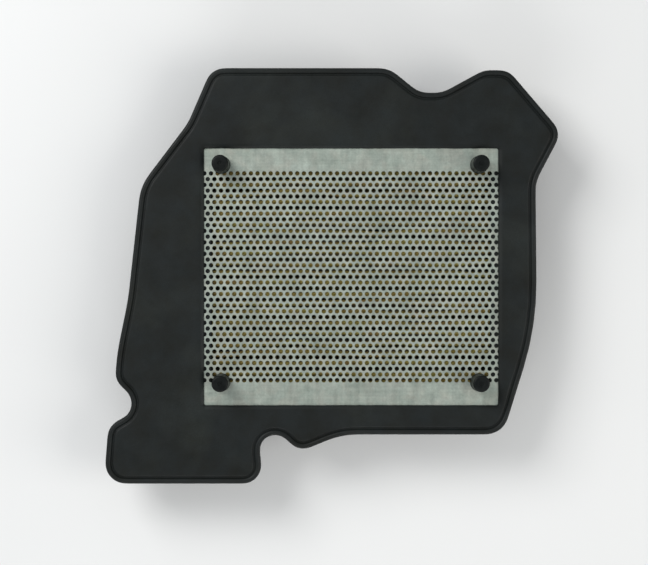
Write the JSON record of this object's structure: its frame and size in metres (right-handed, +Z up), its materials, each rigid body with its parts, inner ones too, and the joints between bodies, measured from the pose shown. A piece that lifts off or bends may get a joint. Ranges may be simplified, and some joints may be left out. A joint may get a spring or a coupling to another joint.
{
  "type": "panel air filter",
  "caption": "Flat engine air filter: moulded flange of irregular outline, pleated paper in a square collar, perforated metal screen and rubber posts on the clean side.",
  "frame": {"origin": "middle of the footprint's bounding box, on the plane that the collar's foot rests on", "axes": "+Z up through the clean side, the side with the screen and the posts; +X to the right along the pleats and +Y away from the viewer, with the large lobe of the flange at the front left"},
  "size_m": [0.2386, 0.219, 0.0494],
  "materials": {
    "polyurethane": "matt black moulded polyurethane with a smooth skin",
    "galvanised_sheet": "dull galvanised steel, punched with staggered round holes",
    "filter_paper": "oiled yellow-brown filter paper, matt",
    "hot_melt": "milky hot-melt glue",
    "post_rubber": "satin black rubber"
  },
  "bodies": {
    "root": {"moulded_frame": "polyurethane", "clean_side_screen": "galvanised_sheet", "pleated_paper": "filter_paper", "glue_bead_1": "hot_melt", "glue_bead_2": "hot_melt", "glue_bead_3": "hot_melt", "post_front_left": "post_rubber", "post_front_right": "post_rubber", "post_rear_left": "post_rubber", "post_rear_right": "post_rubber"}
  },
  "joints": []
}
